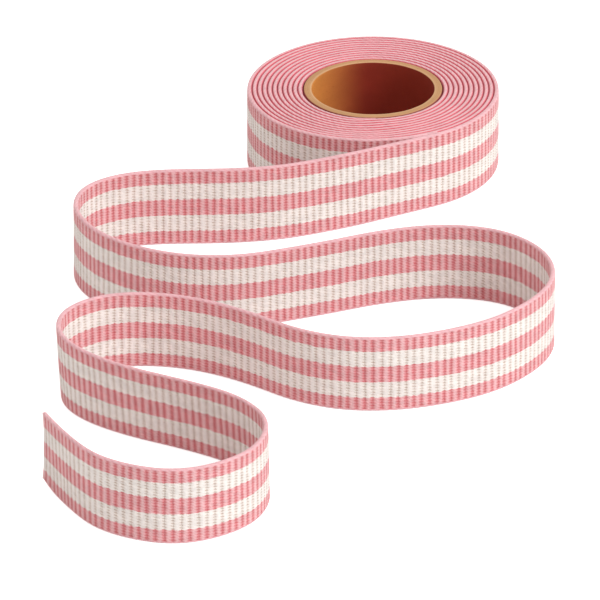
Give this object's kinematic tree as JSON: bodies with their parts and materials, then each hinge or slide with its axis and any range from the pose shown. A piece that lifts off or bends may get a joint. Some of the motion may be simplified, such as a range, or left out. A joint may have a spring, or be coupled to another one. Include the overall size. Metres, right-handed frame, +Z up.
{
  "type": "ribbon roll",
  "caption": "Roll of ribbed, striped ribbon on a short cardboard core, lying on its edge, with a loose tail that stands on edge and winds away in bends.",
  "frame": {"origin": "on the axis of the core's bore, in the plane of the lower edges of the coil, core and tail, which is the surface that the roll rests on", "axes": "+Z up along the core's axis; the tail leaves the coil on the -Y side and runs towards -Y; +X to the right when the tail points at the viewer"},
  "size_m": [0.1034, 0.2068, 0.0165],
  "materials": {
    "core_board": "matte",
    "tape": "satin",
    "ribbon": "matte"
  },
  "bodies": {
    "root": {"core": "core_board", "start_tape": "tape", "wound_ribbon": "ribbon", "ribbon_tail": "ribbon"}
  },
  "joints": []
}
